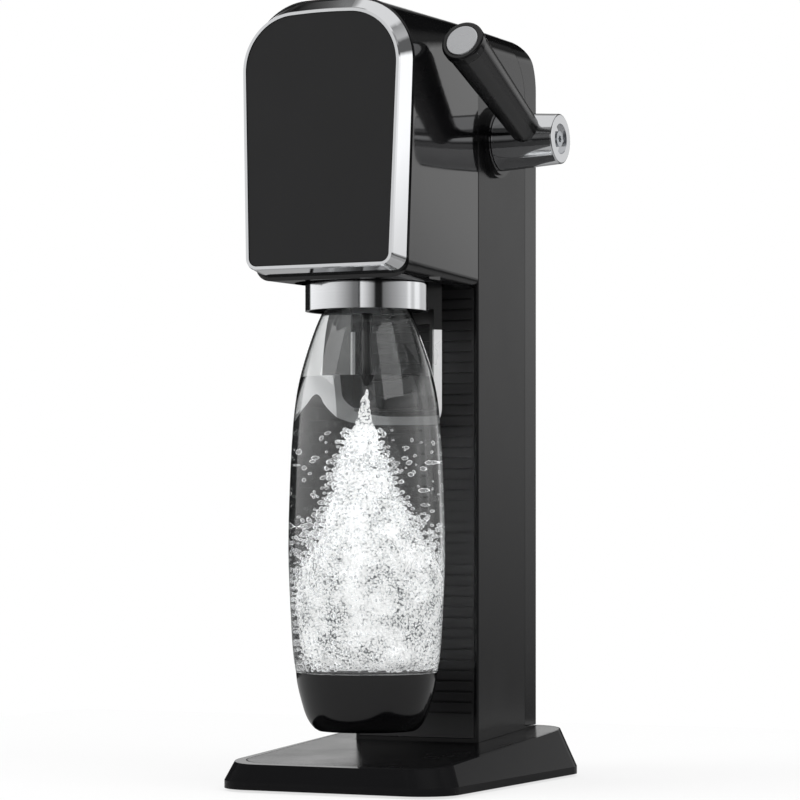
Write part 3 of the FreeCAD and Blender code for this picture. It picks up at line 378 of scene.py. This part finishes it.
# The blown side as (height, radius) points from the foot to the neck, and the rings of the foot.
SIDE = [(0.0644, 0.0391), (0.0748, 0.0406), (0.0924, 0.0418), (0.1310, 0.0433), (0.1706, 0.0424),
        (0.2041, 0.0404), (0.2263, 0.0370), (0.2485, 0.0304), (0.2625, 0.0246), (0.2675, 0.0205)]
FOOT = [(0.0370, 0.0180, 0), (0.0385, 0.0240, 0), (0.0445, 0.0306, 0), (0.0500, 0.0340, 0),
        (0.0550, 0.0360, 0), (0.0642, 0.0372, 0)]
NECK_RING = (0.2814, 0.0205, 0)
FLOOR_ENDS = 0.065              # below this the inner skin is lifted, which leaves a floor
outside = FOOT + smooth_side(SIDE, 6) + [NECK_RING]
inside = [(z + (WALL if z < FLOOR_ENDS else 0), radius - WALL, 0) for z, radius, _ in reversed(outside)]
bottle = turn_up("bottle_wall", outside + inside)
bpy.ops.object.shade_smooth_by_angle(angle=math.radians(35))

# Blown clear polyester: colourless and glass-smooth, so it is seen by its dark and bright edges.
clear_polyester, shader, tree = new_finish("blown_clear_polyester", "#fbfcfc", Roughness=0.0, IOR=1.42)
shader.inputs["Transmission Weight"].default_value = 1.0
bottle.data.materials.append(clear_polyester)
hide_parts("bottle_body")
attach(bottle, "bottle")

# Semi-gloss black ABS: smooth but not polished, so lights lie on it as soft-edged bars.
cup_abs, shader, tree = new_finish("semi_gloss_cup_abs", "#070708", IOR=1.52)
grain(shader, tree, pitch=0.004, depth=0.00001, roughness=(0.10, 0.14))
dress(cup_abs, "bottle_cup")

# A grey card hangs behind the bottle, left of the column, and is seen only through the clear wall.
bpy.ops.object.select_all(action="DESELECT")
bpy.ops.mesh.primitive_plane_add(size=1.0, location=(-0.0640, 0.0540, 0.1700))
card = bpy.context.object
card.name = "grey_card"
card.rotation_euler = (math.radians(90), 0, math.radians(CAMERA_TURN))
card.scale = (0.034, 0.260, 1.0)
bpy.ops.object.transform_apply(location=True, rotation=True, scale=True)
card_grey = bpy.data.materials.new("card_grey")
card_grey.use_nodes = True
card_grey.node_tree.nodes.clear()
even = add_node(card_grey.node_tree, "ShaderNodeEmission", {"Color": linear("#5e5e5e"), "Strength": 1.0})
add_node(card_grey.node_tree, "ShaderNodeOutputMaterial", {"Surface": even.outputs[0]})
card.data.materials.append(card_grey)
for sight in ("visible_camera", "visible_glossy", "visible_diffuse", "visible_shadow"):
    setattr(card, sight, False)


# ---- Water and gas -------------------------------------------------------------
# The bottle is filled to the nozzle tip. Gas shoots down from the tip, spreads into
# a plume of fine white foam and fills the lower half with a cloud of round bubbles.


def apply_modifier(piece, kind, **settings):
    """Adds a modifier with these settings to a piece and applies it."""
    modifier = piece.modifiers.new(kind.lower(), kind)
    for setting, value in settings.items():
        setattr(modifier, setting, value)
    bpy.context.view_layer.objects.active = piece
    bpy.ops.object.modifier_apply(modifier=modifier.name)


# The water reaches half-way into the bottle's wall, so that no sheet of air is left between.
WATER_FLOOR = 0.0376
WATER_TOP = 0.2267
TOP_EDGE = 0.0001               # the water's top draws in by this
below_surface = [ring for ring in outside if FOOT[0][0] < ring[0] < WATER_TOP]
water = turn_up("water", [(max(z, WATER_FLOOR), radius - WALL / 2, 0) for z, radius, _ in below_surface]
                + [(WATER_TOP, below_surface[-1][1] - WALL / 2 - TOP_EDGE, 0)])
bpy.ops.object.shade_smooth_by_angle(angle=math.radians(40))

# Water: clear and colourless, and it bends what lies behind the bottle.
clear_water, shader, tree = new_finish("clear_water", "#ffffff", Roughness=0.0, IOR=1.333)
shader.inputs["Transmission Weight"].default_value = 1.0
water.data.materials.append(clear_water)
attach(water, "bottle")

# The plume is widest low down, narrows to the nozzle tip and leans a little to either side.
PLUME_RINGS = [(0.0660, 0.0262, 0.0040), (0.0760, 0.0310, 0.0036), (0.0980, 0.0326, 0.0026),
               (0.1120, 0.0316, 0.0020), (0.1220, 0.0292, 0.0022), (0.1300, 0.0256, 0.0026),
               (0.1380, 0.0214, 0.0016), (0.1470, 0.0178, 0.0004), (0.1560, 0.0150, -0.0004),
               (0.1680, 0.0122, -0.0012), (0.1780, 0.0098, -0.0018), (0.1870, 0.0076, -0.0022),
               (0.1990, 0.0052, -0.0014), (0.2100, 0.0028, -0.0004), (0.2190, 0.0008, 0.0)]
LUMP = 0.005                    # width of the foam's lumps, and how far they stand out
foam_lumps = bpy.data.textures.new("foam_lumps", "CLOUDS")
foam_lumps.noise_scale = LUMP
plume = turn_up("gas_plume", PLUME_RINGS)
apply_modifier(plume, "SUBSURF", levels=2, render_levels=2)
apply_modifier(plume, "DISPLACE", texture=foam_lumps, strength=LUMP, mid_level=0.7, texture_coords="LOCAL")

# Foam of millimetre bubbles: a painted glow stands in for the light it scatters inside the bottle, white
# where they pile up, and painted shade makes it grey in the cracks.
gas_foam, shader, tree = new_finish("gas_foam", "#f4f5f6", Roughness=0.25, IOR=1.33, Emission_Strength=0.62)
place = add_node(tree, "ShaderNodeTexCoord").outputs["Object"]
cells = add_node(tree, "ShaderNodeTexVoronoi", {"Vector": place, "Scale": 1 / 0.0012}, feature="F1")
crowding = add_node(tree, "ShaderNodeTexNoise", {"Vector": place, "Scale": 1 / 0.012, "Detail": 2.0})
crack_shade_mask = add_node(tree, "ShaderNodeMath", {0: cells.outputs["Distance"], 1: crowding.outputs[0]},
                 operation="MULTIPLY")
shade = add_node(tree, "ShaderNodeValToRGB", {"Fac": crack_shade_mask.outputs[0]})
shade.color_ramp.elements[0].position = 0.20
shade.color_ramp.elements[0].color = linear("#ffffff")
shade.color_ramp.elements[1].position = 0.50
shade.color_ramp.elements[1].color = linear("#5c5f62")
# Painted shade and painted glow: the ramp greys the cracks in both the base colour and the emission.
tree.links.new(shade.outputs["Color"], shader.inputs["Base Color"])
tree.links.new(shade.outputs["Color"], shader.inputs["Emission Color"])
bump = add_node(tree, "ShaderNodeBump", {"Height": cells.outputs["Distance"], "Distance": 0.0008,
                                         "Strength": 1.0}, invert=True)
tree.links.new(bump.outputs[0], shader.inputs["Normal"])
plume.data.materials.append(gas_foam)
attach(plume, "bottle")


def water_radius(z):
    """The bottle's inner radius at this height."""
    for (z0, r0, _), (z1, r1, _) in zip(outside, outside[1:]):
        if z0 <= z <= z1:
            return r0 + (r1 - r0) * (z - z0) / (z1 - z0) - WALL
    return 0.0


def blow_bubbles(name, spots):
    """One piece made of small spheres, each a copy of one bubble. Spots are (centre, radius,
    squeeze), and the squeeze also sets how far a bubble is tipped over."""
    bpy.ops.object.select_all(action="DESELECT")
    bpy.ops.mesh.primitive_uv_sphere_add(segments=7, ring_count=4, radius=1.0, location=(0, 0, 0))
    bubble = bpy.context.object
    bpy.ops.object.shade_smooth()
    copies = []
    for centre, radius, squeeze in spots:
        twin = bubble.copy()
        twin.data = bubble.data.copy()
        shape = Matrix.Diagonal((radius, radius * 0.9, radius * squeeze, 1.0))
        tip_over = Matrix.Rotation(squeeze * 7, 4, "Y")
        twin.data.transform(Matrix.Translation(centre) @ tip_over @ shape)
        bpy.context.scene.collection.objects.link(twin)
        copies.append(twin)
    bpy.data.objects.remove(bubble)
    bpy.ops.object.select_all(action="DESELECT")
    for twin in copies:
        twin.select_set(True)
    bpy.context.view_layer.objects.active = copies[0]
    bpy.ops.object.join()
    copies[0].name = name
    return copies[0]


BUBBLES_FROM = 0.066            # no bubble lower than this, level with the cup's rim
BUBBLES_TO = 0.2255             # nor higher, just under the surface
OFF_THE_WALL = 0.0008


def in_the_water(spot, radius):
    """Whether a bubble here lies wholly inside the water, clear of the wall."""
    away = math.hypot(spot.x, spot.y - BOTTLE_Y)
    in_height = BUBBLES_FROM + radius < spot.z < BUBBLES_TO - radius
    return in_height and away + radius < water_radius(spot.z) - OFF_THE_WALL


# Most bubbles crowd round the plume's skin, further out in its wide lower part; the rest
# drift anywhere in the bottle, more of them low down.
RIM_BUBBLES = 4600
FREE_BUBBLES = 520
SQUEEZE = (0.8, 1.5)
WIDE_BELOW = 0.15
WIDE_REACH = 0.0125
NARROW_REACH = 0.006
CROWD_TOP = 0.198
DRIFT_WIDTH = 0.043
DRIFT_FROM = 0.067
DRIFT_HEIGHT = 0.13

chance = random.Random(11)
skin = plume.data.vertices
rim_spots = []
while len(rim_spots) < RIM_BUBBLES:
    start = skin[chance.randrange(len(skin))]
    radius = chance.uniform(0.0003, 0.0011)
    reach = WIDE_REACH if start.co.z < WIDE_BELOW else NARROW_REACH
    spot = start.co + start.normal * chance.uniform(-0.0004, reach) * chance.random()
    if spot.z < CROWD_TOP and in_the_water(spot, radius):
        rim_spots.append((spot, radius, chance.uniform(*SQUEEZE)))
free_spots = []
while len(free_spots) < FREE_BUBBLES:
    spot = Vector((chance.uniform(-DRIFT_WIDTH, DRIFT_WIDTH),
                   BOTTLE_Y + chance.uniform(-DRIFT_WIDTH, DRIFT_WIDTH),
                   DRIFT_FROM + DRIFT_HEIGHT * chance.random() ** 1.3))
    radius = chance.uniform(0.0004, 0.0014)
    if in_the_water(spot, radius):
        free_spots.append((spot, radius, chance.uniform(*SQUEEZE)))

# A gas bubble in water: its middle lets the light through, and a painted glow, bright on its rim and dark in
# its middle, stands in for the light its rim mirrors.
bubble_skin, shader, tree = new_finish("gas_bubble", "#f8f9fa", Roughness=0.03, IOR=1.33,
                                       Emission_Strength=0.85)
shader.inputs["Transmission Weight"].default_value = 0.9
# Painted highlight: the emission follows how squarely the skin faces the view, white at the rim.
facing = add_node(tree, "ShaderNodeLayerWeight", {"Blend": 0.5})
painted_rim_glow = add_node(tree, "ShaderNodeValToRGB", {"Fac": facing.outputs["Facing"]})
set_ramp(painted_rim_glow, [(0.15, 0.02), (0.55, 0.10), (0.75, 1.0)])
tree.links.new(painted_rim_glow.outputs["Color"], shader.inputs["Emission Color"])
for name, spots in (("foam_bubbles", rim_spots), ("loose_bubbles", free_spots)):
    bubbles = blow_bubbles(name, spots)
    bubbles.data.materials.clear()
    bubbles.data.materials.append(bubble_skin)
    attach(bubbles, "bottle")


# ---- Lever -------------------------------------------------------------------
# A chromed zinc hub turns on the shaft through the head's side, held by one screw.
# A tapered satin arm is screwed into it, with a black end ring round a turned cap.

# Chromed zinc: die-cast, polished and plated, a mirror with the faintest ripple.
chromed_zinc, shader, tree = new_finish("chromed_zinc", "#d6d7d9", Metallic=1.0)
grain(shader, tree, pitch=0.008, depth=0.000006, roughness=(0.04, 0.08))
dress(chromed_zinc, "lever_hub")
dress(plated_steel, "hub_screw")
dress(gloss_abs, "hub_base_ring", "arm_end_ring")

# Satin arm: smoother than the column's ABS, so one long highlight runs down it.
arm_abs, shader, tree = new_finish("satin_arm_abs", "#101011", IOR=1.54)
grain(shader, tree, pitch=0.0007, depth=0.000012, roughness=(0.22, 0.30))
dress(arm_abs, "lever_arm")

# Satin chrome: blasted before plating, a pale metal with a spread highlight.
turned_cap, shader, tree = new_finish("satin_chrome_cap", "#c6c7c9", Metallic=1.0)
grain(shader, tree, pitch=0.0006, depth=0.00001, roughness=(0.24, 0.32))
dress(turned_cap, "arm_end_cap")


# ---- Works in the head ---------------------------------------------------------
# Two plated steel cheeks carry the lever shaft in nylon bushes. A cam on the shaft
# pushes the yoke down on the valve pin, and a coil spring brings the lever back.

dress(plated_steel, "lever_shaft", "shaft_circlip", "lever_cam", "plunger_yoke", "valve_pin", "chassis_left",
      "chassis_right", "chassis_brace", "chassis_screws", "lock_studs", "lever_spring")
dress(filled_nylon, "valve_block", "shaft_bush_left", "shaft_bush_right", "lock_handle")


# ---- Gas line ------------------------------------------------------------------
# A painted aluminium cylinder stands in a cradle in the column and locks into the
# valve block. A thin braided hose takes the gas over to the swivel at the holder.

dress(etched_abs, "cylinder_cradle")

# Turned brass: yellow metal, dulled by fine tool marks.
turned_brass, shader, tree = new_finish("turned_brass", "#c9a45a", Metallic=1.0)
grain(shader, tree, pitch=0.0008, depth=0.00001, roughness=(0.2, 0.3))
dress(turned_brass, "cylinder_valve", "gas_swivel", "hose_fitting", "relief_valve")

# Powder-coated aluminium: pale grey, with the slight orange peel of a baked coat.
cylinder_coat, shader, tree = new_finish("powder_coated_aluminium", "#9a9ca0", IOR=1.5)
grain(shader, tree, pitch=0.0014, depth=0.00003, roughness=(0.32, 0.42))
dress(cylinder_coat, "gas_cylinder")
dress(moulded_rubber, "gas_hose")
